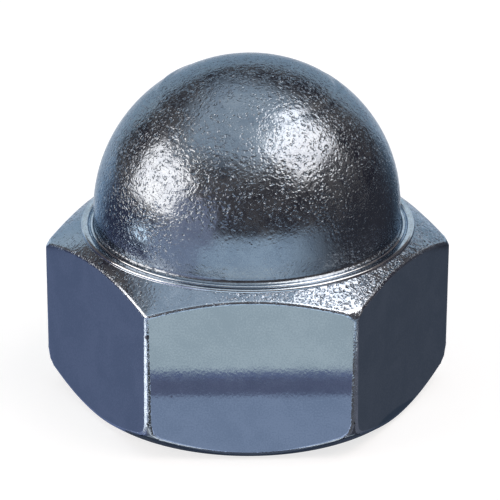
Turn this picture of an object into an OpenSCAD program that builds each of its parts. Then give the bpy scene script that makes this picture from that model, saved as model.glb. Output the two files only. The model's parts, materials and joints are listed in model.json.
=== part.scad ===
// Cap nut: a hexagon nut closed by a dome, made as one solid piece of steel.
// Millimetres. The origin is the centre of the bearing face and +Z runs up
// the thread axis to the top of the dome. Two flats face along Y.

/* [Hexagon] */
// Width across the flats
across_flats = 17; // [16.5:0.5:19]
// Height of each flat at its middle, from the bearing face to the top chamfer
flat_h = 8.2; // [7.5:0.05:8.6]
// Slope of the top chamfer, from level
top_chamfer_angle = 30; // [20:1:35]
// Diameter of the bearing face
bearing_d = 16.25; // [14:0.05:16.4]
// Slope of the chamfer around the bearing face, from level
bearing_chamfer_angle = 38; // [20:1:50]

/* [Dome] */
// Height of the whole nut
overall_h = 16.75; // [16.5:0.05:18]
// Diameter of the dome
dome_d = 14.8; // [14:0.1:15.4]

/* [Collar] */
// Width of the collar around the foot of the dome
collar_w = 0.65; // [0.4:0.05:0.8]
// Rise of the collar's rim above the top chamfer
collar_rise = 0.15; // [0.05:0.01:0.2]
// Radius of the hollow corner between the dome and the collar
foot_fillet = 0.2; // [0.1:0.05:0.3]

/* [Thread] */
// Nominal diameter of the thread
thread_d = 10; // [8:0.5:10.5]
// Pitch of the thread
thread_pitch = 1.5; // [1:0.25:1.75]
// Depth of the round wall of the tapped hole, from the bearing face
bore_depth = 12; // [10:0.25:12.5]
// Point angle of the drilled end of the hole
drill_angle = 118; // [110:1:130]
// Diameter of the countersunk mouth
mouth_d = 10.6; // [10.2:0.1:11.5]
// Full angle of the countersunk mouth
mouth_angle = 90; // [60:1:120]

/* [Hidden] */
$fn = 96;

// The hole is left at tapping-drill size, which the thread's crests keep
bore_r = (thread_d - thread_pitch) / 2;
mouth_depth = (mouth_d / 2 - bore_r) / tan(mouth_angle / 2);
point_h = bore_r / tan(drill_angle / 2);

flat_r = across_flats / 2;
corner_r = flat_r / cos(30);
bearing_r = bearing_d / 2;
dome_r = dome_d / 2;
dome_centre_z = overall_h - dome_r;
collar_r = dome_r + collar_w;

// Height of the top chamfer's cone at a radius
function top_chamfer_z(r) = flat_h + (flat_r - r) * tan(top_chamfer_angle);

// Height of the lower chamfer's cone at a radius
function bearing_chamfer_z(r) = (r - bearing_r) * tan(bearing_chamfer_angle);

collar_z = top_chamfer_z(collar_r) + collar_rise;

// How far a cutting shape runs past what it cuts
past = 1;
// Depth to which the dome's turned form is sunk in the hexagon
root = 2;

// The outline that both chamfers leave of the hexagon, on one side of the axis
module hexagon_envelope() {
  rim_r = corner_r + past;
  polygon([
    [0, 0],
    [bearing_r, 0],
    [rim_r, bearing_chamfer_z(rim_r)],
    [rim_r, top_chamfer_z(rim_r)],
    [collar_r, top_chamfer_z(collar_r)],
    [0, top_chamfer_z(collar_r)]
  ]);
}

// Hexagon bar with both ends chamfered, its flats square to Y
module hexagon() {
  intersection() {
    cylinder(r = corner_r, h = overall_h, $fn = 6);
    rotate_extrude() hexagon_envelope();
  }
}

// Half of the dome's section: a quarter round on a short upright wall
module dome_section() {
  intersection() {
    translate([0, dome_centre_z]) circle(r = dome_r);
    translate([0, dome_centre_z]) square(dome_r);
  }
  translate([0, collar_z - root]) square([dome_r, dome_centre_z - collar_z + root]);
}

// Half of the collar's section, with the hollow corner that joins it to the dome
module collar_section() {
  translate([0, collar_z - root]) square([collar_r, root]);
  translate([dome_r, collar_z])
    difference() {
      square(foot_fillet);
      translate([foot_fillet, foot_fillet]) circle(r = foot_fillet);
    }
}

// Half of the blind hole's section: countersunk mouth, round wall, drill point
module hole_section() {
  polygon([
    [0, -past],
    [mouth_d / 2 + past * tan(mouth_angle / 2), -past],
    [bore_r, mouth_depth],
    [bore_r, bore_depth],
    [0, bore_depth + point_h]
  ]);
}

module cap_nut() {
  color("lightsteelblue")
    difference() {
      union() {
        hexagon();
        rotate_extrude() {
          dome_section();
          collar_section();
        }
      }
      rotate_extrude() hole_section();
    }
}

cap_nut();
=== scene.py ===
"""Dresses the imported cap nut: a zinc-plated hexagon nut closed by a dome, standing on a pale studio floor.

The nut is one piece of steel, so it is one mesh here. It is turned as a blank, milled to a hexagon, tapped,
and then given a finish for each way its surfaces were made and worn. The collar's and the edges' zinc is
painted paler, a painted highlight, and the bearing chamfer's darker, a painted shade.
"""

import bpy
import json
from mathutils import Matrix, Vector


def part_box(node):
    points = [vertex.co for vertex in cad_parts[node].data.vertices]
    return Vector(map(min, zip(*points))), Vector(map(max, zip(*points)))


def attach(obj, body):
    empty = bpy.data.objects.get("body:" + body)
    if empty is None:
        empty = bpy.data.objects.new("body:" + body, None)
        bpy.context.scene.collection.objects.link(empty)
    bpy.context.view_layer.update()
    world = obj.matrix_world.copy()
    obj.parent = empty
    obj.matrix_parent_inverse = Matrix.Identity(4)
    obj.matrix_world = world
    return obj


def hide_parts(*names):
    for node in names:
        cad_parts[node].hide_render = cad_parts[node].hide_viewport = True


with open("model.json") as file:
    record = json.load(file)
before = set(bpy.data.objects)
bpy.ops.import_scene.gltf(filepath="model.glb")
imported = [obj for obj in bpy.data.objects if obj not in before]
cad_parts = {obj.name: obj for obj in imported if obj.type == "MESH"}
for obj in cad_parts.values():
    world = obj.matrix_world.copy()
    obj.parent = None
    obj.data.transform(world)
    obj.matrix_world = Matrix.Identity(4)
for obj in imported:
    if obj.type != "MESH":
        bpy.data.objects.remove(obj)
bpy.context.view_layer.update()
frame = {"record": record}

import json
import logging
import math
from dataclasses import dataclass, field
from enum import IntEnum

import bmesh
import bpy
from mathutils import Matrix, Vector

Colour = tuple[float, float, float]
Socket = bpy.types.NodeSocket
Sockets = bpy.types.bpy_prop_collection
Source = bpy.types.NodeSocket | float | tuple[float, ...]

MM = 0.001
MERGE_DISTANCE = 1e-7
# Shares of a radius within which a point counts as lying on it, in the hole and on the turned rims
WALL_SLACK = 0.01
RIM_SLACK = 0.001

log = logging.getLogger("cap_nut")


class Region(IntEnum):
    """The surfaces of the nut that each have a finish, in the order of its material slots."""

    DOME = 0
    COLLAR = 1
    TOP_CHAMFER = 2
    FLAT = 3
    EDGE = 4
    BEARING = 5
    THREAD = 6


def in_metres(*millimetres: float) -> tuple[float, ...]:
    """Returns lengths that are given in millimetres as metres."""
    return tuple(length * MM for length in millimetres)


def opaque(colour: Colour) -> tuple[float, float, float, float]:
    """Returns a colour with full alpha, as colour sockets take it."""
    return (*colour, 1.0)


def clamp(value: float) -> float:
    """Returns value, held between 0 and 1."""
    return max(0.0, min(1.0, value))


def smooth_step(start: float, end: float, value: float) -> float:
    """Eases from 0 to 1 as value goes from start to end.

    Args:
        start: Value that gives 0.
        end: Value that gives 1.
        value: Value to ease.

    Returns:
        The eased share, from 0 to 1.
    """
    share = clamp((value - start) / (end - start))
    return share * share * (3.0 - 2.0 * share)


def direction(azimuth: float, elevation: float) -> Vector:
    """Finds a unit vector from two angles.

    Args:
        azimuth: Degrees from straight behind the nut, +Y, towards its right, +X.
        elevation: Degrees above level.

    Returns:
        The vector that points that way from the nut.
    """
    turn = math.radians(azimuth)
    rise = math.radians(elevation)
    return Vector((math.sin(turn) * math.cos(rise), math.cos(turn) * math.cos(rise), math.sin(rise)))


def add_object(name: str, mesh: bmesh.types.BMesh) -> bpy.types.Object:
    """Makes an object from a finished mesh.

    Args:
        name: Name of the object and of its mesh data.
        mesh: The finished mesh, which is freed.

    Returns:
        The new object, linked to the scene.
    """
    data = bpy.data.meshes.new(name)
    mesh.to_mesh(data)
    mesh.free()
    made = bpy.data.objects.new(name, data)
    bpy.context.scene.collection.objects.link(made)
    return made


def cut_rectangle(mesh: bmesh.types.BMesh, width: float, height: float, panels: int = 1) -> None:
    """Adds a flat rectangle, centred on the origin.

    Args:
        mesh: Empty mesh that takes the rectangle.
        width: Size along X.
        height: Size along Y.
        panels: Number of equal faces along X.
    """
    bmesh.ops.create_grid(mesh, x_segments=panels, y_segments=1, size=0.5)
    bmesh.ops.scale(mesh, verts=mesh.verts[:], vec=(width, height, 1.0))


def slice_off(mesh: bmesh.types.BMesh, place: Vector, outward: Vector, region: Region) -> None:
    """Cuts off what lies past a plane and closes the cut with one face.

    Args:
        mesh: Closed mesh to cut.
        place: Point on the plane.
        outward: Direction that the plane faces.
        region: Region that the new face belongs to.
    """
    bmesh.ops.bisect_plane(
        mesh,
        geom=mesh.verts[:] + mesh.edges[:] + mesh.faces[:],
        dist=MERGE_DISTANCE,
        plane_co=place,
        plane_no=outward,
        clear_outer=True,
    )
    rim = [edge for edge in mesh.edges if edge.is_boundary]
    made = bmesh.ops.contextual_create(mesh, geom=rim)
    for face in made["faces"]:
        face.material_index = region


@dataclass(frozen=True)
class NutSizes:
    """The nut's sizes in metres, as the CAD part has them.

    The box and the hole come from the frame. The rest are the part's own named values.
    """

    flat_r: float
    overall_h: float
    bore_r: float
    mouth_depth: float
    bore_depth: float
    flat_h: float = 8.2 * MM
    top_chamfer_slope: float = math.tan(math.radians(30.0))
    bearing_r: float = 8.125 * MM
    bearing_chamfer_slope: float = math.tan(math.radians(38.0))
    dome_r: float = 7.4 * MM
    collar_r: float = 8.05 * MM
    collar_rise: float = 0.15 * MM
    mouth_r: float = 5.3 * MM
    thread_d: float = 10.0 * MM
    pitch: float = 1.5 * MM
    drill_angle: float = 118.0

    @classmethod
    def from_frame(cls) -> "NutSizes":
        """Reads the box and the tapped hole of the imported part.

        Returns:
            The sizes.
        """
        low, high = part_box("cap_nut")
        hole = next(m for m in frame["record"]["mounts"] if m["name"] == "tapped_hole")
        bore_r = hole["dims"]["r_mm"] * MM
        mouth_depth = cls.mouth_r - bore_r
        return cls(
            flat_r=(high[1] - low[1]) / 2.0,
            overall_h=high[2] - low[2],
            bore_r=bore_r,
            mouth_depth=mouth_depth,
            bore_depth=mouth_depth + hole["dims"]["length_mm"] * MM,
        )

    @property
    def corner_r(self) -> float:
        """Radius of the hexagon's corners."""
        return self.flat_r / math.cos(math.radians(30.0))

    @property
    def dome_centre_z(self) -> float:
        """Height of the centre of the dome's round."""
        return self.overall_h - self.dome_r

    @property
    def collar_z(self) -> float:
        """Height of the collar's rim."""
        return self.top_chamfer_z(self.collar_r) + self.collar_rise

    @property
    def point_z(self) -> float:
        """Height of the tip of the drilled hole."""
        return self.bore_depth + self.bore_r / math.tan(math.radians(self.drill_angle / 2.0))

    def top_chamfer_z(self, radius: float) -> float:
        """Returns the height of the top chamfer at a radius."""
        return self.flat_h + (self.flat_r - radius) * self.top_chamfer_slope

    def bearing_chamfer_z(self, radius: float) -> float:
        """Returns the height of the lower chamfer at a radius."""
        return (radius - self.bearing_r) * self.bearing_chamfer_slope


class SectionPen:
    """Draws half of a turned section as one chain of edges in the XZ plane."""

    def __init__(self, mesh: bmesh.types.BMesh, radius: float, height: float) -> None:
        """Starts the chain.

        Args:
            mesh: Mesh that takes the chain.
            radius: Distance of the first point from the axis.
            height: Height of the first point.
        """
        self.mesh = mesh
        self.tip = mesh.verts.new((radius, 0.0, height))

    def line(self, radius: float, height: float, pieces: int = 1) -> None:
        """Draws a straight stretch.

        Args:
            radius: Distance of its far end from the axis.
            height: Height of its far end.
            pieces: Number of equal edges it is made of.
        """
        step = (Vector((radius, 0.0, height)) - self.tip.co) / pieces
        for _ in range(pieces):
            made = bmesh.ops.extrude_vert_indiv(self.mesh, verts=[self.tip])
            self.tip = made["verts"][0]
            bmesh.ops.translate(self.mesh, verts=[self.tip], vec=step)

    def arc(self, centre_radius: float, centre_height: float, turn: float, pieces: int) -> None:
        """Draws a round stretch.

        Args:
            centre_radius: Distance of the arc's centre from the axis.
            centre_height: Height of the arc's centre.
            turn: Degrees to turn, positive from the axis of the nut outwards over the top.
            pieces: Number of equal edges it is made of.
        """
        made = bmesh.ops.spin(
            self.mesh,
            geom=[self.tip],
            cent=(centre_radius, 0.0, centre_height),
            axis=(0.0, 1.0, 0.0),
            angle=math.radians(turn),
            steps=pieces,
            use_merge=False,
        )
        self.tip = next(item for item in made["geom_last"] if isinstance(item, bmesh.types.BMVert))


@dataclass
class TurnedBlank:
    """The round blank, turned on its axis with both chamfers, the collar, the dome and the drilled hole.

    The collar has a small fillet at the foot of its wall, a rounded rim and a narrow flat top. Inside that
    runs a fine round bead, with a groove on each side of it. A break is the small cut that dulls an edge.
    """

    sizes: NutSizes
    stock_margin: float = 0.4 * MM
    bearing_break_in: float = 0.05 * MM
    bearing_break_out: float = 0.0365 * MM
    bearing_break_rise: float = 0.034 * MM
    collar_round: float = 0.1 * MM
    collar_fillet: float = 0.05 * MM
    collar_top: float = 0.17 * MM
    bead_round: float = 0.1 * MM
    groove_half: float = 0.03 * MM
    groove_depth: float = 0.17 * MM
    columns: int = 192
    rows_per_pitch: int = 16
    face_pieces: int = 6
    fillet_pieces: int = 4
    round_pieces: int = 5
    bead_pieces: int = 8
    wall_pieces: int = 2
    dome_pieces: int = 56

    def build(self, mesh: bmesh.types.BMesh) -> None:
        """Draws the section and spins it into a closed blank.

        Args:
            mesh: Empty mesh that takes the blank.
        """
        self.draw_section(mesh)
        half_column = math.pi / self.columns
        bmesh.ops.rotate(mesh, verts=mesh.verts[:], matrix=Matrix.Rotation(half_column, 3, "Z"))
        bmesh.ops.spin(
            mesh,
            geom=mesh.verts[:] + mesh.edges[:],
            cent=(0.0, 0.0, 0.0),
            axis=(0.0, 0.0, 1.0),
            angle=2.0 * math.pi,
            steps=self.columns,
            use_merge=True,
        )
        bmesh.ops.remove_doubles(mesh, verts=mesh.verts[:], dist=MERGE_DISTANCE)
        bmesh.ops.recalc_face_normals(mesh, faces=mesh.faces[:])

    def draw_section(self, mesh: bmesh.types.BMesh) -> None:
        """Draws half of the section, from the tip of the hole out around the nut to the top of the dome.

        Args:
            mesh: Mesh that takes the section.
        """
        s = self.sizes
        row = s.pitch / self.rows_per_pitch
        pen = SectionPen(mesh, 0.0, s.point_z)
        pen.line(s.bore_r, s.bore_depth, self.face_pieces)
        pen.line(s.bore_r, s.mouth_depth, round((s.bore_depth - s.mouth_depth) / row))
        pen.line(s.mouth_r, 0.0, round(s.mouth_depth / row))
        pen.line(s.bearing_r - self.bearing_break_in, 0.0, self.face_pieces)
        pen.line(s.bearing_r + self.bearing_break_out, self.bearing_break_rise)
        rim_r = s.corner_r + self.stock_margin
        pen.line(rim_r, s.bearing_chamfer_z(rim_r))
        pen.line(rim_r, s.top_chamfer_z(rim_r))
        slope = math.atan(s.top_chamfer_slope)
        fillet_r = s.collar_r + self.collar_fillet
        fillet_rise = self.collar_fillet * math.tan(math.radians(45.0) - slope / 2.0)
        fillet_z = s.top_chamfer_z(s.collar_r) + fillet_rise
        foot_r = fillet_r - self.collar_fillet * math.sin(slope)
        pen.line(foot_r, s.top_chamfer_z(foot_r))
        pen.arc(fillet_r, fillet_z, 90.0 - math.degrees(slope), self.fillet_pieces)
        self.draw_collar(pen)
        pen.line(s.dome_r, s.dome_centre_z, self.wall_pieces)
        pen.arc(0.0, s.dome_centre_z, -90.0, self.dome_pieces)
        # The last point has to lie right on the axis, so that the dome's top closes
        pen.tip.co.x = 0.0

    def draw_collar(self, pen: SectionPen) -> None:
        """Draws the collar's round rim, the fine bead inside it and the groove on each side of the bead.

        Args:
            pen: Pen at the foot of the collar's outer wall.
        """
        s = self.sizes
        shoulder_z = s.collar_z - self.collar_round
        outer_r = s.collar_r - self.collar_round
        inner_r = outer_r - self.collar_top
        groove_r = inner_r - self.collar_round - self.groove_half
        bead_r = groove_r - self.groove_half - self.bead_round
        pen.line(s.collar_r, shoulder_z)
        pen.arc(outer_r, shoulder_z, -90.0, self.round_pieces)
        pen.line(inner_r, s.collar_z)
        pen.arc(inner_r, shoulder_z, -90.0, self.round_pieces)
        pen.line(groove_r, s.collar_z - self.groove_depth)
        pen.line(bead_r + self.bead_round, s.collar_z - self.bead_round)
        pen.arc(bead_r, s.collar_z - self.bead_round, -180.0, self.bead_pieces)
        pen.line(s.dome_r, s.collar_z - self.groove_depth)


@dataclass(frozen=True)
class Knock:
    """A flat knocked onto one corner, facing an azimuth and leaning above level, both in degrees."""

    azimuth: float
    depth: float
    lean: float


@dataclass
class WrenchHexagon:
    """The six flats, milled off the blank, and the broken edges around them."""

    sizes: NutSizes
    corner_break: float = 0.15 * MM
    rim_break: float = 0.12 * MM
    upper_knocks: tuple[Knock, ...] = (
        Knock(150.0, 0.19 * MM, 28.0),
        Knock(90.0, 0.14 * MM, 28.0),
        Knock(-90.0, 0.12 * MM, 28.0),
        Knock(30.0, 0.08 * MM, 28.0),
        Knock(-30.0, 0.05 * MM, 28.0),
    )
    lower_depth: float = 0.14 * MM
    lower_leans: tuple[float, ...] = (-8.0, -20.0, -32.0)
    corner_strips: int = 3
    rim_strips: int = 2
    flats: int = 6

    @property
    def sector(self) -> float:
        """Degrees from one flat to the next."""
        return 360.0 / self.flats

    def mill(self, mesh: bmesh.types.BMesh) -> None:
        """Cuts the six flats off the blank and closes each cut with one face.

        Args:
            mesh: Mesh that holds the blank.
        """
        for number in range(self.flats):
            outward = direction(self.sector * number, 0.0)
            slice_off(mesh, outward * self.sizes.flat_r, outward, Region.FLAT)
        bmesh.ops.recalc_face_normals(mesh, faces=mesh.faces[:])

    def knock_corners(self, mesh: bmesh.types.BMesh) -> None:
        """Takes the points off the corners: above by the knocks they have had, below by one even round.

        Args:
            mesh: Mesh that holds the milled blank.
        """
        s = self.sizes
        upper_z = s.top_chamfer_z(s.corner_r)
        for knock in self.upper_knocks:
            self.knock(mesh, knock, upper_z, Region.EDGE)
        lower_z = s.bearing_chamfer_z(s.corner_r)
        for number in range(self.flats):
            for lean in self.lower_leans:
                knock = Knock(self.sector * (number + 0.5), self.lower_depth, lean)
                self.knock(mesh, knock, lower_z, Region.BEARING)
        bmesh.ops.recalc_face_normals(mesh, faces=mesh.faces[:])

    def knock(self, mesh: bmesh.types.BMesh, knock: Knock, height: float, region: Region) -> None:
        """Cuts one corner and closes the cut with one face.

        Args:
            mesh: Mesh that holds the milled blank.
            knock: Where and how the corner is cut.
            height: Height of the corner's point.
            region: Region that the new face belongs to.
        """
        corner = direction(knock.azimuth, 0.0) * self.sizes.corner_r
        corner.z = height
        outward = direction(knock.azimuth, knock.lean)
        slice_off(mesh, corner - outward * knock.depth, outward, region)

    def break_edges(self, mesh: bmesh.types.BMesh) -> None:
        """Rounds the six corners, then the rims where the flats meet the chamfers.

        Args:
            mesh: Mesh that holds the milled blank.
        """
        corners = [
            edge
            for edge in mesh.edges
            if all(face.material_index == Region.FLAT for face in edge.link_faces)
        ]
        self.bevel(mesh, corners, self.corner_break, self.corner_strips)
        rims = [
            edge
            for edge in mesh.edges
            if len({face.material_index in (Region.FLAT, Region.EDGE) for face in edge.link_faces}) == 2
        ]
        self.bevel(mesh, rims, self.rim_break, self.rim_strips)

    def bevel(
        self, mesh: bmesh.types.BMesh, edges: list[bmesh.types.BMEdge], width: float, strips: int
    ) -> None:
        """Rounds edges and marks the new faces as worn edge, whose paler zinc is also a painted highlight.

        Args:
            mesh: Mesh that holds the edges.
            edges: Edges to round.
            width: Width taken off each side of an edge.
            strips: Number of strips across the round.
        """
        made = bmesh.ops.bevel(
            mesh,
            geom=edges,
            offset=width,
            offset_type="OFFSET",
            segments=strips,
            profile=0.5,
            affect="EDGES",
            clamp_overlap=False,
            material=-1,
        )
        for face in made["faces"]:
            face.material_index = Region.EDGE


@dataclass
class TappedHole:
    """The right-hand metric thread in the blind hole.

    Its root and its crest are given by their half widths, in pitches. The full thread takes a share of the
    wall's height. It then runs out, and leaves the last part of a turn plain.
    """

    sizes: NutSizes
    root_half: float = 1.0 / 16.0
    crest_half: float = 1.0 / 8.0
    full_thread_share: float = 0.8
    plain_turns: float = 0.25

    def wall_r(self, height: float, angle: float) -> float:
        """Finds the radius of the tapped wall at one place.

        Args:
            height: Height above the bearing face.
            angle: Angle around the axis, in radians.

        Returns:
            The distance of the wall from the axis.
        """
        s = self.sizes
        turns = height / s.pitch - angle / (2.0 * math.pi)
        from_root = abs(turns % 1.0 - 0.5)
        flank = 0.5 - self.root_half - self.crest_half
        depth_share = clamp((0.5 - self.crest_half - from_root) / flank)
        full_depth_z = s.bore_depth * self.full_thread_share
        run_out = 1.0 - smooth_step(full_depth_z, s.bore_depth - s.pitch * self.plain_turns, height)
        return s.bore_r + (s.thread_d / 2.0 - s.bore_r) * depth_share * run_out

    def tap(self, mesh: bmesh.types.BMesh) -> None:
        """Moves the wall of the hole outwards to the thread's form.

        Args:
            mesh: Mesh that holds the drilled blank.
        """
        s = self.sizes
        for vert in mesh.verts:
            radius = math.hypot(vert.co.x, vert.co.y)
            if radius > s.mouth_r or vert.co.z > s.bore_depth or radius < s.bore_r * (1.0 - WALL_SLACK):
                continue
            wanted = self.wall_r(vert.co.z, math.atan2(vert.co.y, vert.co.x))
            if wanted > radius:
                vert.co.xy = vert.co.xy * (wanted / radius)


class Desk:
    """Lays out and links the nodes of one tree."""

    def __init__(self, tree: bpy.types.NodeTree) -> None:
        """Keeps the tree that takes the nodes."""
        self.tree = tree

    def add(self, kind: str, **settings: object) -> bpy.types.Node:
        """Adds one node.

        Args:
            kind: Blender's name for the node's type.
            settings: Settings of the node.

        Returns:
            The new node.
        """
        node = self.tree.nodes.new(kind)
        for name, value in settings.items():
            setattr(node, name, value)
        return node

    def feed(self, socket: Socket, source: Source) -> None:
        """Links a socket to another, or sets its value.

        Args:
            socket: Input to feed.
            source: Output socket, or a plain value.
        """
        if isinstance(source, Socket):
            self.tree.links.new(source, socket)
        else:
            socket.default_value = source

    def math(self, operation: str, first: Source, second: Source = 0.0, clamped: bool = False) -> Socket:
        """Adds a Math node.

        Args:
            operation: Name of the operation.
            first: First value or socket.
            second: Second value or socket.
            clamped: Whether the result is held between 0 and 1.

        Returns:
            The output socket.
        """
        node = self.add("ShaderNodeMath", operation=operation, use_clamp=clamped)
        self.feed(node.inputs[0], first)
        self.feed(node.inputs[1], second)
        return node.outputs[0]

    def vector(self, operation: str, first: Source, second: Source = (0.0, 0.0, 0.0)) -> Socket:
        """Adds a Vector Math node.

        Args:
            operation: Name of the operation.
            first: First vector or socket.
            second: Second vector or socket.

        Returns:
            The output socket, a number for a length or a distance.
        """
        node = self.add("ShaderNodeVectorMath", operation=operation)
        self.feed(node.inputs[0], first)
        self.feed(node.inputs[1], second)
        return node.outputs["Value" if operation in ("LENGTH", "DISTANCE") else "Vector"]

    def remap(self, value: Source, low: Source, high: Source, new_low: Source, new_high: Source) -> Socket:
        """Eases a value from one range to another.

        Args:
            value: Socket to read.
            low: Start of the range read.
            high: End of the range read.
            new_low: Result at the start.
            new_high: Result at the end.

        Returns:
            The output socket.
        """
        node = self.add("ShaderNodeMapRange", interpolation_type="SMOOTHSTEP")
        for name, source in (
            ("Value", value),
            ("From Min", low),
            ("From Max", high),
            ("To Min", new_low),
            ("To Max", new_high),
        ):
            self.feed(node.inputs[name], source)
        return node.outputs["Result"]

    def noise(
        self, place: Source, scale: Source, detail: float = 2.0, bend: float = 0.0, output: str = "Fac"
    ) -> Socket:
        """Adds a noise texture.

        Args:
            place: Vector socket to read.
            scale: Number of features for each unit of the vector.
            detail: Number of finer layers.
            bend: Distortion of the features.
            output: Name of the output to use.

        Returns:
            The output's socket.
        """
        node = self.add("ShaderNodeTexNoise")
        self.feed(node.inputs["Vector"], place)
        self.feed(node.inputs["Scale"], scale)
        self.feed(node.inputs["Detail"], detail)
        self.feed(node.inputs["Distortion"], bend)
        return node.outputs[output]

    def mix(self, share: Source, first: Source, second: Source) -> Socket:
        """Mixes two colours.

        Args:
            share: Share of the second colour.
            first: First colour or socket.
            second: Second colour or socket.

        Returns:
            The colour's socket.
        """
        node = self.add("ShaderNodeMix", data_type="RGBA")
        self.feed(node.inputs["Factor"], share)
        colours = [socket for socket in node.inputs if socket.type == "RGBA"]
        self.feed(colours[0], first)
        self.feed(colours[1], second)
        return next(socket for socket in node.outputs if socket.type == "RGBA")

    def blend(self, share: Source, first: Socket, second: Socket) -> Socket:
        """Mixes two shaders.

        Args:
            share: Share of the second shader.
            first: Socket of the first shader.
            second: Socket of the second shader.

        Returns:
            The mixed shader's socket.
        """
        node = self.add("ShaderNodeMixShader")
        self.feed(node.inputs["Fac"], share)
        self.feed(node.inputs[1], first)
        self.feed(node.inputs[2], second)
        return node.outputs[0]


def new_material(name: str) -> tuple[bpy.types.Material, Desk, bpy.types.Node]:
    """Starts a material.

    Args:
        name: Name of the material.

    Returns:
        The material, a desk for its nodes and its Principled BSDF.
    """
    made = bpy.data.materials.new(name)
    made.use_nodes = True
    return made, Desk(made.node_tree), made.node_tree.nodes["Principled BSDF"]


class Effect:
    """A shader node group that several finishes share, built once.

    Each kind of effect has a name, and the names and types of the sockets that it takes and gives.
    """

    name: str
    takes: tuple[tuple[str, str], ...]
    gives: tuple[tuple[str, str], ...]

    def __init__(self) -> None:
        """Builds the group with its named sockets."""
        self.group = bpy.data.node_groups.new(self.name, "ShaderNodeTree")
        for title, kind in self.takes:
            self.group.interface.new_socket(name=title, in_out="INPUT", socket_type=kind)
        for title, kind in self.gives:
            self.group.interface.new_socket(name=title, in_out="OUTPUT", socket_type=kind)
        desk = Desk(self.group)
        entry = desk.add("NodeGroupInput")
        leaving = desk.add("NodeGroupOutput")
        self.fill(desk, entry.outputs, leaving.inputs)

    def fill(self, desk: Desk, entry: Sockets, leaving: Sockets) -> None:
        """Adds the nodes that work the effect out; each kind of effect has its own.

        Args:
            desk: Desk of the group.
            entry: Sockets that bring the group's inputs.
            leaving: Sockets that take its outputs.
        """
        raise NotImplementedError

    def place(self, desk: Desk, **values: Source) -> bpy.types.Node:
        """Places the group in a material.

        Args:
            desk: Desk of the material.
            values: Value or socket for each input, with spaces in its name written as underscores.

        Returns:
            The group's node.
        """
        node = desk.add("ShaderNodeGroup", node_tree=self.group)
        for name, value in values.items():
            desk.feed(node.inputs[name.replace("_", " ")], value)
        return node


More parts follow.
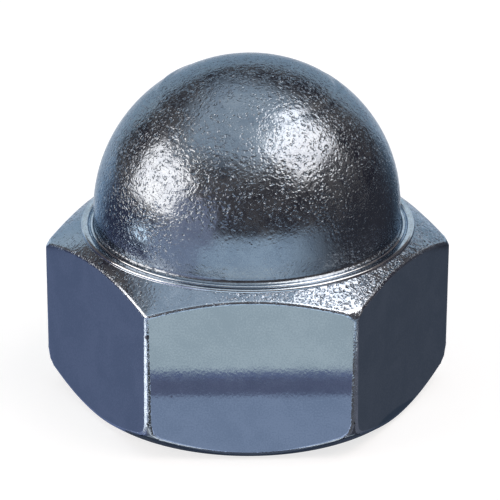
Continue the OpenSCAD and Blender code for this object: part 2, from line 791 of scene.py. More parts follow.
class TumbledDents(Effect):
    """The small hollows that parts beat into each other in the tumbling barrel, on a gently uneven skin.

    One low, wide patch around the spared place was hit less, and stays smoother.
    """

    name = "tumbled_dents"
    takes = (
        ("Place", "NodeSocketVector"),
        ("Dents Per Metre", "NodeSocketFloat"),
        ("Share Dented", "NodeSocketFloat"),
        ("Spared Place", "NodeSocketVector"),
        ("Spared Width", "NodeSocketFloat"),
        ("Unevenness", "NodeSocketFloat"),
    )
    gives = (("Height", "NodeSocketFloat"),)

    # The small hollows against the wide ones: how many to a metre, how rare the deep ones are, how deep
    small_density = 1.9
    small_rarity = 3.0
    small_depth = 1.4
    # The uneven skin's waves to each wide hollow, and their bend
    skin_density = 0.35
    skin_bend = 0.4
    # The hollows' widths in cells, the share of a width that its flat bottom takes, and the least depth
    least_width = 0.4
    width_spread = 0.3
    bottom_share = 0.25
    least_depth = 0.25
    # How finely and how far the hollows are bent out of round, in hollows
    bend_density = 1.3
    bend_reach = 0.9
    # The spared patch: its squeeze in height, its core's share of its width, and the force left in the core
    patch_squeeze = (1.0, 1.0, 1.6)
    patch_core = 0.7
    patch_force = 0.2

    def fill(self, desk: Desk, entry: Sockets, leaving: Sockets) -> None:
        """Adds a layer of wide hollows, a layer of small ones and the uneven skin below them.

        Args:
            desk: Desk of the group.
            entry: Sockets that bring the group's inputs.
            leaving: Sockets that take its outputs.
        """
        place = entry["Place"]
        per_metre = entry["Dents Per Metre"]
        share = entry["Share Dented"]
        bent = self.bend(desk, place, per_metre)
        wide = self.hollows(desk, bent, per_metre, share, 1.0)
        small_per_metre = desk.math("MULTIPLY", per_metre, self.small_density)
        small = self.hollows(desk, bent, small_per_metre, share, self.small_rarity)
        skin = desk.noise(place, desk.math("MULTIPLY", per_metre, self.skin_density), bend=self.skin_bend)
        depth = desk.math("ADD", wide, desk.math("MULTIPLY", small, self.small_depth))
        height = desk.math("SUBTRACT", desk.math("MULTIPLY", skin, entry["Unevenness"]), depth)
        force = self.force(desk, place, entry["Spared Place"], entry["Spared Width"])
        desk.feed(leaving["Height"], desk.math("MULTIPLY", height, force))

    def force(self, desk: Desk, place: Source, spared: Source, width: Source) -> Socket:
        """Weakens the dents around the spared place.

        Args:
            desk: Desk of the group.
            place: Socket of the place on the nut.
            spared: Socket of the middle of the spared patch.
            width: Socket of the distance at which the dents are whole again, less above than beside it.

        Returns:
            The socket of the dents' share, up to 1.
        """
        apart = desk.vector("MULTIPLY", desk.vector("SUBTRACT", place, spared), self.patch_squeeze)
        core = desk.math("MULTIPLY", width, self.patch_core)
        return desk.remap(desk.vector("LENGTH", apart), core, width, self.patch_force, 1.0)

    def bend(self, desk: Desk, place: Source, per_metre: Source) -> Socket:
        """Shifts places a little, so that the hollows aren't round.

        Args:
            desk: Desk of the group.
            place: Socket of the place on the nut.
            per_metre: Socket of the number of hollows to a metre.

        Returns:
            The shifted place's socket.
        """
        wander = desk.noise(place, desk.math("MULTIPLY", per_metre, self.bend_density), output="Color")
        centred = desk.vector("SUBTRACT", wander, (0.5, 0.5, 0.5))
        shift = desk.vector("MULTIPLY", centred, desk.math("DIVIDE", self.bend_reach, per_metre))
        return desk.vector("ADD", place, shift)

    def hollows(self, desk: Desk, place: Source, per_metre: Source, share: Source, rarity: float) -> Socket:
        """Adds one layer of flat-bottomed hollows, in a share of the cells of a Voronoi texture.

        Args:
            desk: Desk of the group.
            place: Socket of the place to read.
            per_metre: Socket of the number of cells to a metre.
            share: Socket of the share of cells with a hollow.
            rarity: How rare the deep ones are, 1 for as many deep as shallow.

        Returns:
            The socket of the depth, from 0 to 1.
        """
        cell = desk.add("ShaderNodeTexVoronoi")
        desk.feed(cell.inputs["Vector"], place)
        desk.feed(cell.inputs["Scale"], per_metre)
        chance = desk.add("ShaderNodeSeparateColor")
        desk.feed(chance.inputs[0], cell.outputs["Color"])
        for_width, for_hollow, for_depth = chance.outputs
        width = desk.math("ADD", desk.math("MULTIPLY", for_width, self.width_spread), self.least_width)
        across = desk.math("DIVIDE", cell.outputs["Distance"], width)
        bowl = desk.remap(across, self.bottom_share, 1.0, 1.0, 0.0)
        there = desk.math("LESS_THAN", for_hollow, share)
        deep = desk.math("MULTIPLY", desk.math("POWER", for_depth, rarity), 1.0 - self.least_depth)
        depth = desk.math("MULTIPLY", there, desk.math("ADD", deep, self.least_depth))
        return desk.math("MULTIPLY", bowl, depth)


class TurnedLines(Effect):
    """The fine rings that a turning tool leaves around the axis."""

    name = "turned_lines"
    takes = (("Place", "NodeSocketVector"), ("Lines Per Metre", "NodeSocketFloat"))
    gives = (("Height", "NodeSocketFloat"),)

    def fill(self, desk: Desk, entry: Sockets, leaving: Sockets) -> None:
        """Adds a noise that changes only with the distance from the axis and the height.

        Args:
            desk: Desk of the group.
            entry: Sockets that bring the group's inputs.
            leaving: Sockets that take its outputs.
        """
        apart = desk.add("ShaderNodeSeparateXYZ")
        desk.feed(apart.inputs[0], entry["Place"])
        squares = [desk.math("POWER", apart.outputs[axis], 2.0) for axis in (0, 1)]
        radius = desk.math("SQRT", desk.math("ADD", *squares))
        join = desk.add("ShaderNodeCombineXYZ")
        desk.feed(join.inputs[0], radius)
        desk.feed(join.inputs[2], apart.outputs[2])
        desk.feed(leaving["Height"], desk.noise(join.outputs[0], entry["Lines Per Metre"], detail=1.0))


class DrawnStreaks(Effect):
    """The faint streaks that run up the flats, along the bar that the hexagon was drawn as."""

    name = "drawn_streaks"
    takes = (("Place", "NodeSocketVector"), ("Streaks Per Metre", "NodeSocketFloat"))
    gives = (("Height", "NodeSocketFloat"),)

    # How the streaks are drawn out along the axis, and their waver
    stretch = (1.0, 1.0, 0.7)
    waver = 0.2

    def fill(self, desk: Desk, entry: Sockets, leaving: Sockets) -> None:
        """Adds a noise stretched along the axis.

        Args:
            desk: Desk of the group.
            entry: Sockets that bring the group's inputs.
            leaving: Sockets that take its outputs.
        """
        place = desk.vector("MULTIPLY", entry["Place"], self.stretch)
        streaks = desk.noise(place, entry["Streaks Per Metre"], detail=3.0, bend=self.waver)
        desk.feed(leaving["Height"], streaks)


class ZincTone(Effect):
    """The cloudy blue-grey of bright zinc plate."""

    name = "zinc_tone"
    takes = (
        ("Place", "NodeSocketVector"),
        ("Pale", "NodeSocketColor"),
        ("Deep", "NodeSocketColor"),
        ("Clouds Per Metre", "NodeSocketFloat"),
        ("Smooth", "NodeSocketFloat"),
        ("Rough", "NodeSocketFloat"),
    )
    gives = (("Colour", "NodeSocketColor"), ("Roughness", "NodeSocketFloat"))

    # The specks and the grain to each cloud
    speck_density = 24.0
    grain_density = 6.0
    # The ranges of noise over which the tone goes from pale to deep and the polish from smooth to rough
    tone_range = (0.38, 0.62)
    grain_range = (0.3, 0.7)

    def fill(self, desk: Desk, entry: Sockets, leaving: Sockets) -> None:
        """Adds clouds that shift the colour and the polish a little.

        Args:
            desk: Desk of the group.
            entry: Sockets that bring the group's inputs.
            leaving: Sockets that take its outputs.
        """
        place = entry["Place"]
        per_metre = entry["Clouds Per Metre"]
        cloud = desk.noise(place, per_metre, detail=4.0, bend=0.8)
        speck = desk.noise(place, desk.math("MULTIPLY", per_metre, self.speck_density), detail=1.0)
        both = desk.math("MULTIPLY", desk.math("ADD", cloud, speck), 0.5)
        share = desk.remap(both, *self.tone_range, 0.0, 1.0)
        desk.feed(leaving["Colour"], desk.mix(share, entry["Pale"], entry["Deep"]))
        grain = desk.noise(place, desk.math("MULTIPLY", per_metre, self.grain_density), detail=3.0)
        roughness = desk.remap(grain, *self.grain_range, entry["Smooth"], entry["Rough"])
        desk.feed(leaving["Roughness"], roughness)


class WearMark(Effect):
    """A mask for one small ragged mark of wear."""

    name = "wear_mark"
    takes = (("Place", "NodeSocketVector"), ("Centre", "NodeSocketVector"), ("Width", "NodeSocketFloat"))
    gives = (("Mask", "NodeSocketFloat"),)

    # The tears in the mark's rim to its width, how deep they go, and the range over which the rim fades
    tears = 2.5
    tear_depth = 0.5
    rim_range = (0.55, 0.85)

    def fill(self, desk: Desk, entry: Sockets, leaving: Sockets) -> None:
        """Adds the distance from the centre, roughened by a noise.

        Args:
            desk: Desk of the group.
            entry: Sockets that bring the group's inputs.
            leaving: Sockets that take its outputs.
        """
        apart = desk.vector("DISTANCE", entry["Place"], entry["Centre"])
        across = desk.math("DIVIDE", apart, entry["Width"])
        ragged = desk.noise(entry["Place"], desk.math("DIVIDE", self.tears, entry["Width"]), detail=1.0)
        edge = desk.math("ADD", across, desk.math("MULTIPLY", ragged, self.tear_depth))
        desk.feed(leaving["Mask"], desk.remap(edge, *self.rim_range, 1.0, 0.0))


@dataclass
class Effects:
    """The effects that the finishes share."""

    dents: TumbledDents = field(default_factory=TumbledDents)
    lines: TurnedLines = field(default_factory=TurnedLines)
    streaks: DrawnStreaks = field(default_factory=DrawnStreaks)
    tone: ZincTone = field(default_factory=ZincTone)
    mark: WearMark = field(default_factory=WearMark)


@dataclass(frozen=True)
class Relief:
    """The fine relief of a finish. Its width and its depth are in metres."""

    width: float
    depth: float

    def group(self, desk: Desk, effects: Effects, place: Socket) -> bpy.types.Node:
        """Places the relief's effect in a material; each kind of relief has its own.

        Args:
            desk: Desk of the material.
            effects: The shared effects.
            place: Socket of the place on the nut.

        Returns:
            The effect's node, which gives a height.
        """
        raise NotImplementedError


@dataclass(frozen=True)
class Dents(Relief):
    """The dents of a tumbled skin, with the middle of the patch that they spare in millimetres."""

    share: float
    unevenness: float
    spared_place: tuple[float, float, float] = (0.0, 0.0, 0.0)
    spared_width: float = 0.1 * MM

    def group(self, desk: Desk, effects: Effects, place: Socket) -> bpy.types.Node:
        """Places the dents in a material.

        Args:
            desk: Desk of the material.
            effects: The shared effects.
            place: Socket of the place on the nut.

        Returns:
            The node of the dents.
        """
        return effects.dents.place(
            desk,
            Place=place,
            Dents_Per_Metre=1.0 / self.width,
            Share_Dented=self.share,
            Spared_Place=in_metres(*self.spared_place),
            Spared_Width=self.spared_width,
            Unevenness=self.unevenness,
        )


@dataclass(frozen=True)
class Lines(Relief):
    """The rings of a turned skin."""

    def group(self, desk: Desk, effects: Effects, place: Socket) -> bpy.types.Node:
        """Places the turned lines in a material, and returns their node."""
        return effects.lines.place(desk, Place=place, Lines_Per_Metre=1.0 / self.width)


@dataclass(frozen=True)
class Streaks(Relief):
    """The streaks of a drawn skin."""

    def group(self, desk: Desk, effects: Effects, place: Socket) -> bpy.types.Node:
        """Places the drawn streaks in a material, and returns their node."""
        return effects.streaks.place(desk, Place=place, Streaks_Per_Metre=1.0 / self.width)


@dataclass(frozen=True)
class Mark:
    """One small mark of wear: its centre and width in millimetres, and its colour."""

    centre: tuple[float, float, float]
    width: float
    colour: Colour


@dataclass(frozen=True)
class ZincFinish:
    """The finish of one region of the nut: its tones, its polish, its relief and its marks of wear."""

    name: str
    pale: Colour
    deep: Colour
    smooth: float
    rough: float
    relief: Relief
    cloud_width: float = 2.0 * MM
    marks: tuple[Mark, ...] = ()
    rim_tint: Colour = (0.5, 0.6, 0.72)

    def material(self, effects: Effects) -> bpy.types.Material:
        """Builds the finish as a material.

        Args:
            effects: The shared effects.

        Returns:
            The new material.
        """
        made, desk, shader = new_material(self.name)
        shader.inputs["Metallic"].default_value = 1.0
        shader.inputs["Specular Tint"].default_value = opaque(self.rim_tint)
        place = desk.add("ShaderNodeTexCoord").outputs["Object"]
        tone = effects.tone.place(
            desk,
            Place=place,
            Pale=opaque(self.pale),
            Deep=opaque(self.deep),
            Clouds_Per_Metre=1.0 / self.cloud_width,
            Smooth=self.smooth,
            Rough=self.rough,
        )
        colour = tone.outputs["Colour"]
        for mark in self.marks:
            centre = in_metres(*mark.centre)
            patch = effects.mark.place(desk, Place=place, Centre=centre, Width=mark.width * MM)
            colour = desk.mix(patch.outputs["Mask"], colour, opaque(mark.colour))
        desk.feed(shader.inputs["Base Color"], colour)
        desk.feed(shader.inputs["Roughness"], tone.outputs["Roughness"])
        bump = desk.add("ShaderNodeBump")
        bump.inputs["Distance"].default_value = self.relief.depth
        desk.feed(bump.inputs["Height"], self.relief.group(desk, effects, place).outputs["Height"])
        desk.feed(shader.inputs["Normal"], bump.outputs["Normal"])
        return made


FINISHES: dict[Region, ZincFinish] = {
    Region.DOME: ZincFinish(
        "tumbled_dome_zinc",
        pale=(0.32, 0.37, 0.42),
        deep=(0.255, 0.3, 0.355),
        smooth=0.15,
        rough=0.22,
        relief=Dents(
            0.26 * MM,
            0.0155 * MM,
            share=0.85,
            unevenness=1.0,
            spared_place=(0.3, -7.3, 9.2),
            spared_width=4.8 * MM,
        ),
        cloud_width=1.2 * MM,
        marks=(Mark((-2.4, -6.25, 12.49), 0.32, (0.5, 0.56, 0.62)),),
    ),
    # Painted highlight: the collar's zinc is much paler than the dome's, so that its rims show as bright
    # lines.
    Region.COLLAR: ZincFinish(
        "turned_collar_zinc_painted_highlight",
        pale=(0.72, 0.77, 0.82),
        deep=(0.5, 0.56, 0.62),
        smooth=0.07,
        rough=0.15,
        relief=Lines(0.12 * MM, 0.0015 * MM),
    ),
    Region.TOP_CHAMFER: ZincFinish(
        "tumbled_chamfer_zinc",
        pale=(0.4, 0.46, 0.53),
        deep=(0.29, 0.35, 0.42),
        smooth=0.07,
        rough=0.13,
        relief=Dents(
            0.23 * MM,
            0.034 * MM,
            share=0.9,
            unevenness=0.6,
            spared_place=(-6.8, -5.2, 8.3),
            spared_width=7.6 * MM,
        ),
        cloud_width=1.2 * MM,
    ),
    Region.FLAT: ZincFinish(
        "wrench_flat_zinc",
        pale=(0.324, 0.387, 0.442),
        deep=(0.272, 0.333, 0.387),
        smooth=0.06,
        rough=0.1,
        relief=Streaks(0.11 * MM, 0.0018 * MM),
        marks=(Mark((-3.72, -8.5, 3.37), 0.13, (0.18, 0.2, 0.24)),),
    ),
    # Worn edges, with painted highlight: their zinc is paler than the flats', so that the edges show as
    # bright lines.
    Region.EDGE: ZincFinish(
        "worn_edge_zinc_painted_highlight",
        pale=(0.62, 0.71, 0.8),
        deep=(0.4, 0.47, 0.55),
        smooth=0.08,
        rough=0.22,
        relief=Dents(0.14 * MM, 0.008 * MM, share=0.5, unevenness=1.2),
        cloud_width=0.8 * MM,
        marks=(Mark((-4.84, -8.5, 6.42), 0.3, (0.1, 0.1, 0.12)),),
    ),
    # Painted shade: the bearing chamfer's zinc is darker than the flats', for the shade under the nut.
    Region.BEARING: ZincFinish(
        "turned_bearing_zinc_painted_shade",
        pale=(0.24, 0.27, 0.31),
        deep=(0.18, 0.21, 0.25),
        smooth=0.15,
        rough=0.25,
        relief=Lines(0.2 * MM, 0.004 * MM),
    ),
    Region.THREAD: ZincFinish(
        "tapped_thread_zinc",
        pale=(0.34, 0.37, 0.42),
        deep=(0.24, 0.27, 0.33),
        smooth=0.22,
        rough=0.35,
        relief=Lines(0.2 * MM, 0.003 * MM),
    ),
}


@dataclass
class CapNut:
    """The whole nut, one closed mesh that stands for the CAD solid.

    The dome leans about one level. Whatever stands higher over the hole's tip than the tip's cover is dome.
    """

    sizes: NutSizes
    name: str = "zinc_cap_nut"
    dome_lean: float = 0.11 * MM
    lean_level: float = 11.5 * MM
    tip_cover: float = 1.0 * MM

    def build(self) -> bpy.types.Object:
        """Turns, mills and taps the nut.

        Returns:
            The nut's object, not yet dressed.
        """
        mesh = bmesh.new()
        TurnedBlank(self.sizes).build(mesh)
        self.mark_regions(mesh)
        TappedHole(self.sizes).tap(mesh)
        self.lean_dome(mesh)
        hexagon = WrenchHexagon(self.sizes)
        hexagon.mill(mesh)
        hexagon.knock_corners(mesh)
        hexagon.break_edges(mesh)
        for face in mesh.faces:
            face.smooth = True
        return add_object(self.name, mesh)

    def mark_regions(self, mesh: bmesh.types.BMesh) -> None:
        """Marks each face of the blank with the region it lies in.

        Args:
            mesh: Mesh that holds the blank.
        """
        s = self.sizes
        for face in mesh.faces:
            centre = face.calc_center_median()
            radius = math.hypot(centre.x, centre.y)
            in_mouth = radius < s.mouth_r and face.normal.z <= 0.0
            in_hole = radius < s.bore_r * (1.0 + WALL_SLACK) and centre.z < s.point_z
            if in_mouth or in_hole:
                face.material_index = Region.THREAD
            elif centre.z < s.flat_h / 2.0:
                face.material_index = Region.BEARING
            elif radius > s.collar_r * (1.0 - RIM_SLACK) and centre.z <= s.top_chamfer_z(s.collar_r):
                face.material_index = Region.TOP_CHAMFER
            elif radius > s.dome_r * (1.0 + RIM_SLACK):
                face.material_index = Region.COLLAR
            else:
                face.material_index = Region.DOME

    def lean_dome(self, mesh: bmesh.types.BMesh) -> None:
        """Leans the dome as it was formed, its top a tenth of a millimetre to the right.

        Args:
            mesh: Mesh that holds the blank.
        """
        s = self.sizes
        for vert in mesh.verts:
            off_wall = math.hypot(vert.co.x, vert.co.y) > s.bore_r * (1.0 + WALL_SLACK)
            over_tip = vert.co.z > s.point_z + self.tip_cover
            if vert.co.z > s.collar_z and (off_wall or over_tip):
                share = (vert.co.z - self.lean_level) / (s.overall_h - self.lean_level)
                vert.co.x += self.dome_lean * share * smooth_step(s.collar_z, s.dome_centre_z, vert.co.z)

    def dress(self, nut: bpy.types.Object, effects: Effects) -> None:
        """Gives each region its finish and ties the nut to the frame.

        Args:
            nut: The nut's object.
            effects: The shared effects.
        """
        for region in Region:
            nut.data.materials.append(FINISHES[region].material(effects))
        nut.modifiers.new("even_normals", "WEIGHTED_NORMAL")
        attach(nut, "root")
        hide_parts("cap_nut")


@dataclass(frozen=True)
class SoftBox:
    """A rectangular soft lamp that faces the nut, placed by degrees and metres.

    Its glow is how bright its face looks.
    """

    name: str
    azimuth: float
    elevation: float
    distance: float
    width: float
    height: float
    glow: float
    colour: Colour

    def build(self, target: Vector) -> None:
        """Hangs the lamp.

        Args:
            target: Point that the lamp faces.
        """
        data = bpy.data.lights.new(self.name, "AREA")
        data.shape = "RECTANGLE"
        data.size = self.width
        data.size_y = self.height
        data.energy = self.glow * math.pi * self.width * self.height
        data.color = self.colour
        lamp = bpy.data.objects.new(self.name, data)
        towards = direction(self.azimuth, self.elevation)
        lamp.location = target + towards * self.distance
        lamp.rotation_euler = towards.to_track_quat("Z", "Y").to_euler()
        bpy.context.scene.collection.objects.link(lamp)
        log.info("built %s", self.name)


@dataclass(frozen=True)
class PaintedReflectionCard:
    """A glowing card laid or stood beside the nut, which only metal shows: a painted reflection, standing
    for what else is on the table.

    Cards are laid in levels, a higher one over a lower one. Their sizes are in millimetres.
    """

    name: str
    level: int
    tone: Colour
    gloss: float = field(default=0.0, kw_only=True)
    silver: Colour = field(default=(0.7, 0.78, 0.86), kw_only=True)
    silver_roughness: float = field(default=0.1, kw_only=True)

    def cut(self, mesh: bmesh.types.BMesh) -> None:
        """Cuts the card to shape; each kind of card has its own."""
        raise NotImplementedError

    def paint(self, desk: Desk) -> Source:
        """Returns the card's tone, even all over."""
        return opaque(self.tone)

    def material(self) -> bpy.types.Material:
        """Makes the card's tone, a glow for the painted reflection, part of it silvered where it has a
        gloss.

        Returns:
            The new material.
        """
        made, desk, spare = new_material(self.name)
        made.node_tree.nodes.remove(spare)
        tone = desk.add("ShaderNodeEmission")
        desk.feed(tone.inputs["Color"], self.paint(desk))
        silver = desk.add("ShaderNodeBsdfAnisotropic")
        silver.inputs["Color"].default_value = opaque(self.silver)
        silver.inputs["Roughness"].default_value = self.silver_roughness
        both = desk.blend(self.gloss, tone.outputs[0], silver.outputs[0])
        desk.feed(made.node_tree.nodes["Material Output"].inputs["Surface"], both)
        return made


@dataclass(frozen=True)
class SectorCard(PaintedReflectionCard):
    """A card cut as a sector of a ring, around the nut or another centre, with a side every few degrees."""

    azimuths: tuple[float, float]
    radii: tuple[float, float]
    centre: tuple[float, float] = (0.0, 0.0)
    end_tone: Colour | None = None
    step: float = 4.0

    def paint(self, desk: Desk) -> Source:
        """Fades the card's tone around the nut to the end tone, if there is one.

        Args:
            desk: Desk of the card's material.

        Returns:
            The tone, or the socket that brings it.
        """
        if self.end_tone is None:
            return super().paint(desk)
        apart = desk.add("ShaderNodeSeparateXYZ")
        desk.feed(apart.inputs[0], desk.add("ShaderNodeTexCoord").outputs["Object"])
        around = desk.math("ARCTAN2", apart.outputs[0], apart.outputs[1])
        start, end = (math.radians(azimuth) for azimuth in self.azimuths)
        share = desk.remap(around, start, end, 0.0, 1.0)
        return desk.mix(share, opaque(self.tone), opaque(self.end_tone))

    def cut(self, mesh: bmesh.types.BMesh) -> None:
        """Sweeps the card's straight side around the nut.

        Args:
            mesh: Empty mesh that takes the card.
        """
        start, end = self.azimuths
        side = [mesh.verts.new(direction(start, 0.0) * radius * MM) for radius in self.radii]
        edge = mesh.edges.new(side)
        bmesh.ops.spin(
            mesh,
            geom=[*side, edge],
            cent=(0.0, 0.0, 0.0),
            axis=(0.0, 0.0, 1.0),
            angle=math.radians(start - end),
            steps=max(1, round((end - start) / self.step)),
        )
        bmesh.ops.remove_doubles(mesh, verts=mesh.verts[:], dist=MERGE_DISTANCE)
        bmesh.ops.translate(mesh, verts=mesh.verts[:], vec=(*in_metres(*self.centre), 0.0))


@dataclass(frozen=True)
class StripCard(PaintedReflectionCard):
    """A card cut as a rectangle, square to the front flat."""

    across: tuple[float, float]
    along: tuple[float, float]

    def cut(self, mesh: bmesh.types.BMesh) -> None:
        """Cuts a rectangle and moves it into place.

        Args:
            mesh: Empty mesh that takes the card.
        """
        cut_rectangle(mesh, *in_metres(self.across[1] - self.across[0], self.along[1] - self.along[0]))
        middle = in_metres(sum(self.across) / 2.0, sum(self.along) / 2.0, 0.0)
        bmesh.ops.translate(mesh, verts=mesh.verts[:], vec=middle)


@dataclass(frozen=True)
class StandingCard(PaintedReflectionCard):
    """A card that stands upright, facing the nut."""

    azimuth: float
    distance: float
    size: tuple[float, float]

    def cut(self, mesh: bmesh.types.BMesh) -> None:
        """Cuts a rectangle, stands it on its long side and turns it to the nut.

        Args:
            mesh: Empty mesh that takes the card.
        """
        width, height = in_metres(*self.size)
        upright = Matrix.Rotation(math.radians(90.0), 3, "X")
        around = Matrix.Rotation(-math.radians(self.azimuth), 3, "Z")
        cut_rectangle(mesh, width, height)
        bmesh.ops.rotate(mesh, verts=mesh.verts[:], matrix=upright)
        bmesh.ops.translate(mesh, verts=mesh.verts[:], vec=(0.0, self.distance * MM, height / 2.0))
        bmesh.ops.rotate(mesh, verts=mesh.verts[:], matrix=around)


# Tones of the cards, which paint reflections: shade to the left and right of the nut, and pale table far
# off.
LEFT_SHADE: Colour = (0.285, 0.305, 0.45)
RIGHT_SHADE: Colour = (0.16, 0.155, 0.18)
RIGHT_DARK: Colour = (0.07, 0.065, 0.075)
FAR_PALE: Colour = (0.66, 0.79, 0.93)
SHEET_LIGHT: Colour = (0.76, 0.89, 1.0)

LAMPS: tuple[SoftBox, ...] = (
    SoftBox("left_softbox", -100.0, 23.0, 0.36, 0.3, 0.21, 3.1, (1.0, 0.88, 0.8)),
    SoftBox("right_softbox", 107.0, 55.0, 0.42, 0.35, 0.28, 2.8, (1.0, 0.88, 0.81)),
    SoftBox("overhead_sheet", -60.0, 86.0, 0.6, 0.72, 0.68, 0.42, SHEET_LIGHT),
    SoftBox("overhead_rim", -60.0, 86.0, 0.62, 1.02, 0.97, 0.28, SHEET_LIGHT),
)

# Painted reflections to the left: blue-grey shade near the nut, dark and pale table further off, and a
# glint.
LEFT_CARDS: tuple[PaintedReflectionCard, ...] = (
    SectorCard("left_near_card", 1, LEFT_SHADE, (-112.0, -62.0), (8.0, 25.0)),
    StripCard("left_foot_card", 1, LEFT_SHADE, (-17.0, -5.4), (-8.5, 2.0)),
    SectorCard("left_far_card", 1, (0.065, 0.07, 0.12), (-110.0, -62.0), (25.0, 900.0)),
    SectorCard(
        "left_edge_card",
        1,
        (0.09, 0.1, 0.16),
        (-64.0, -40.0),
        (12.0, 900.0),
        end_tone=(0.72, 0.86, 1.0),
    ),
    SectorCard("left_pale_card", 1, (0.47, 0.53, 0.69), (-146.0, -110.0), (25.0, 900.0)),
    # Painted glint: a card that glows brighter than white, for the left lamp seen in a glossy table.
    SectorCard("left_painted_glint_card", 2, (2.7, 3.0, 3.2), (-108.0, -92.0), (44.0, 75.0)),
)

# Painted reflections to the right: shade near the nut, near black further off, fading to pale towards the
# front.
RIGHT_CARDS: tuple[PaintedReflectionCard, ...] = (
    SectorCard("right_near_card", 1, RIGHT_SHADE, (60.0, 132.0), (8.0, 24.5)),
    StripCard("right_foot_card", 1, RIGHT_SHADE, (5.4, 17.0), (-8.5, 2.0)),
    SectorCard("right_far_card", 1, RIGHT_DARK, (60.0, 112.0), (24.5, 900.0)),
    SectorCard("right_edge_card", 1, (0.24, 0.28, 0.32), (34.0, 60.0), (12.0, 900.0), end_tone=RIGHT_DARK),
    SectorCard("right_fading_card", 1, RIGHT_DARK, (112.0, 164.0), (26.0, 900.0), end_tone=FAR_PALE),
    SectorCard("right_front_card", 1, RIGHT_SHADE, (132.0, 152.0), (9.6, 26.0)),
)

# Painted shade round the nut's foot and beside its front corners, and a part-silvered card that throws the
# left lamp into the front-left corner.
CORNER_CARDS: tuple[PaintedReflectionCard, ...] = (
    SectorCard("foot_card", 2, (0.1, 0.11, 0.14), (-42.0, 226.0), (8.0, 9.2)),
    SectorCard(
        "corner_silver_card",
        3,
        (0.3, 0.3, 0.32),
        (-130.0, -64.0),
        (1.5, 15.5),
        (-4.9, -8.5),
        gloss=0.75,
    ),
    SectorCard("corner_dark_card", 4, (0.08, 0.08, 0.08), (-178.0, -131.0), (0.4, 15.0), (-4.95, -8.5)),
    SectorCard("right_corner_card", 4, (0.12, 0.11, 0.11), (128.0, 176.0), (0.4, 15.0), (4.95, -8.5)),
)

# Painted reflections in front of the nut: a dim standing card to the front left, pale paper, the table, a
# dark band across the front flat, and pale far off.
FRONT_CARDS: tuple[PaintedReflectionCard, ...] = (
    StandingCard("front_left_card", 0, (0.4, 0.42, 0.55), -139.0, 75.0, (44.0, 42.0)),
    StripCard("front_paper_card", 2, (0.92, 0.985, 1.0), (-5.6, 5.8), (-26.5, -17.9)),
    StripCard("front_table_card", 3, (0.485, 0.55, 0.74), (-5.4, 5.6), (-15.15, -9.0)),
    StripCard("front_band_core", 3, (0.225, 0.235, 0.36), (-5.4, 5.6), (-17.1, -15.15)),
    StripCard("front_band_edge", 3, (0.265, 0.3, 0.49), (-5.4, 5.6), (-17.9, -17.1)),
    SectorCard("front_far_card", 1, FAR_PALE, (164.0, 214.0), (26.0, 900.0)),
)


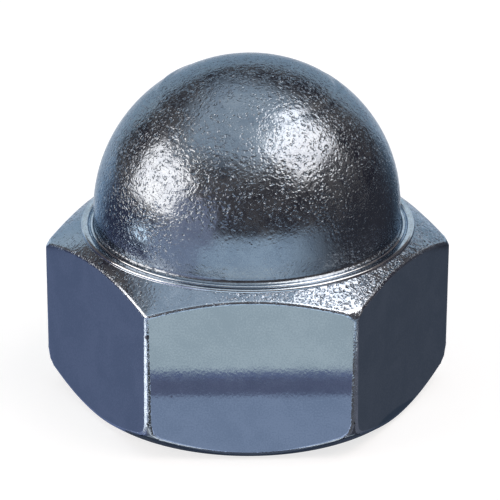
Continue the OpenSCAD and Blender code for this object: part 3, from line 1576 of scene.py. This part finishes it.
@dataclass
class Studio:
    """The pale floor and backdrop, the lamps, the cards of painted reflection around the nut and the dim
    room.
    """

    target: Vector
    floor_r: float = 1.2
    floor_gap: float = 0.005 * MM
    floor_colour: Colour = (0.42, 0.42, 0.42)
    floor_lift: float = 0.74
    backdrop_y: float = 0.26
    backdrop_width: float = 0.44
    backdrop_height: float = 0.14
    backdrop_panels: int = 8
    backdrop_colour: Colour = (0.7, 0.88, 0.98)
    backdrop_lift: float = 0.29
    card_lift: float = 0.02 * MM
    room_shade: Colour = (0.038, 0.034, 0.046)
    room_glow: Colour = (0.23, 0.195, 0.18)
    room_clutter: float = 5.0
    clutter_range: tuple[float, float] = (0.4, 0.65)

    def build(self) -> None:
        """Sets the studio up around the nut."""
        self.build_floor()
        self.build_backdrop()
        self.build_room()
        for lamp in LAMPS:
            lamp.build(self.target)
        for card in (*LEFT_CARDS, *RIGHT_CARDS, *CORNER_CARDS, *FRONT_CARDS):
            self.lay_card(card)

    def build_floor(self) -> None:
        """Lays the pale floor, clear from below so that the nut can be seen from there."""
        mesh = bmesh.new()
        bmesh.ops.create_circle(mesh, cap_ends=True, segments=64, radius=self.floor_r)
        bmesh.ops.translate(mesh, verts=mesh.verts[:], vec=(0.0, 0.0, -self.floor_gap))
        paper = self.pale_paper("pale_floor", self.floor_colour, self.floor_lift)
        desk = Desk(paper.node_tree)
        surface = paper.node_tree.nodes["Material Output"].inputs["Surface"]
        side = desk.add("ShaderNodeNewGeometry")
        clear = desk.add("ShaderNodeBsdfTransparent")
        above = paper.node_tree.nodes["Principled BSDF"].outputs["BSDF"]
        desk.feed(surface, desk.blend(side.outputs["Backfacing"], above, clear.outputs["BSDF"]))
        self.add_stage("studio_floor", mesh, paper)

    def build_backdrop(self) -> None:
        """Stands the backdrop behind the nut."""
        mesh = bmesh.new()
        cut_rectangle(mesh, self.backdrop_width, self.backdrop_height, self.backdrop_panels)
        bmesh.ops.rotate(mesh, verts=mesh.verts[:], matrix=Matrix.Rotation(math.radians(90.0), 3, "X"))
        middle = (0.0, self.backdrop_y, self.backdrop_height / 2.0)
        bmesh.ops.translate(mesh, verts=mesh.verts[:], vec=middle)
        paper = self.pale_paper("pale_backdrop", self.backdrop_colour, self.backdrop_lift)
        self.add_stage("studio_backdrop", mesh, paper)

    def build_room(self) -> None:
        """Darkens the room around the studio, and leaves the dim shapes of what stands in it."""
        world = bpy.data.worlds.new("dim_room")
        world.use_nodes = True
        desk = Desk(world.node_tree)
        outlook = desk.add("ShaderNodeTexCoord").outputs["Generated"]
        clutter = desk.noise(outlook, self.room_clutter, detail=3.0, bend=0.5)
        share = desk.remap(clutter, *self.clutter_range, 0.0, 1.0)
        shade = desk.mix(share, opaque(self.room_shade), opaque(self.room_glow))
        desk.feed(world.node_tree.nodes["Background"].inputs["Color"], shade)
        bpy.context.scene.world = world

    def lay_card(self, card: PaintedReflectionCard) -> None:
        """Lays one card of painted reflection, seen only in metal.

        Args:
            card: The card to lay.
        """
        mesh = bmesh.new()
        card.cut(mesh)
        bmesh.ops.translate(mesh, verts=mesh.verts[:], vec=(0.0, 0.0, self.card_lift * card.level))
        laid = self.add_stage(card.name, mesh, card.material())
        laid.visible_camera = False
        laid.visible_diffuse = False
        laid.visible_shadow = False

    def pale_paper(self, name: str, colour: Colour, lift: float) -> bpy.types.Material:
        """Makes matt pale paper that cameras, metal and glass see a little lifted.

        Args:
            name: Name of the material.
            colour: Colour of the paper.
            lift: Strength of white added to what cameras, metal and glass see.

        Returns:
            The new material.
        """
        made, desk, shader = new_material(name)
        shader.inputs["Base Color"].default_value = opaque(colour)
        shader.inputs["Roughness"].default_value = 1.0
        shader.inputs["Specular IOR Level"].default_value = 0.0
        shader.inputs["Emission Color"].default_value = (1.0, 1.0, 1.0, 1.0)
        path = desk.add("ShaderNodeLightPath")
        seen = desk.math("ADD", path.outputs["Is Camera Ray"], path.outputs["Is Glossy Ray"])
        seen = desk.math("ADD", seen, path.outputs["Is Transmission Ray"], clamped=True)
        desk.feed(shader.inputs["Emission Strength"], desk.math("MULTIPLY", seen, lift))
        return made

    def add_stage(
        self, name: str, mesh: bmesh.types.BMesh, material: bpy.types.Material
    ) -> bpy.types.Object:
        """Makes an object of the studio from a finished mesh.

        Args:
            name: Name of the object.
            mesh: Its mesh, which is freed.
            material: Its material.

        Returns:
            The new object.
        """
        made = add_object(name, mesh)
        made.data.materials.append(material)
        log.info("built %s", name)
        return made


@dataclass
class Viewpoint:
    """The long-lens camera that looks down on the nut's front flat.

    Its aim, lens and sensor are in millimetres and its angles in degrees.
    """

    aim: tuple[float, float, float] = (0.112, -0.0025, 7.026)
    azimuth: float = 181.27
    elevation: float = 24.31
    distance: float = 174.32 * MM
    roll: float = 0.2
    lens: float = 258.9
    sensor: float = 36.0
    nearest: float = 10.0 * MM

    def build(self) -> None:
        """Places the camera."""
        data = bpy.data.cameras.new("portrait_camera")
        data.sensor_width = self.sensor
        data.lens = self.lens
        data.clip_start = self.nearest
        camera = bpy.data.objects.new("portrait_camera", data)
        back = direction(self.azimuth, self.elevation)
        place = Matrix.Translation(Vector(in_metres(*self.aim)) + back * self.distance)
        turn = back.to_track_quat("Z", "Y").to_matrix().to_4x4()
        tilt = Matrix.Rotation(math.radians(self.roll), 4, "Z")
        camera.matrix_world = place @ turn @ tilt
        bpy.context.scene.collection.objects.link(camera)
        bpy.context.scene.camera = camera
        log.info("built %s", camera.name)


def main() -> None:
    """Builds the nut and its studio in order."""
    logging.basicConfig(level=logging.INFO, format="%(message)s")
    bpy.context.scene.view_settings.view_transform = "Standard"
    sizes = NutSizes.from_frame()
    maker = CapNut(sizes)
    nut = maker.build()
    maker.dress(nut, Effects())
    log.info("built %s: %d faces", nut.name, len(nut.data.polygons))
    Studio(Vector((0.0, 0.0, sizes.overall_h / 2.0))).build()
    Viewpoint().build()


if __name__ == "__main__":
    main()
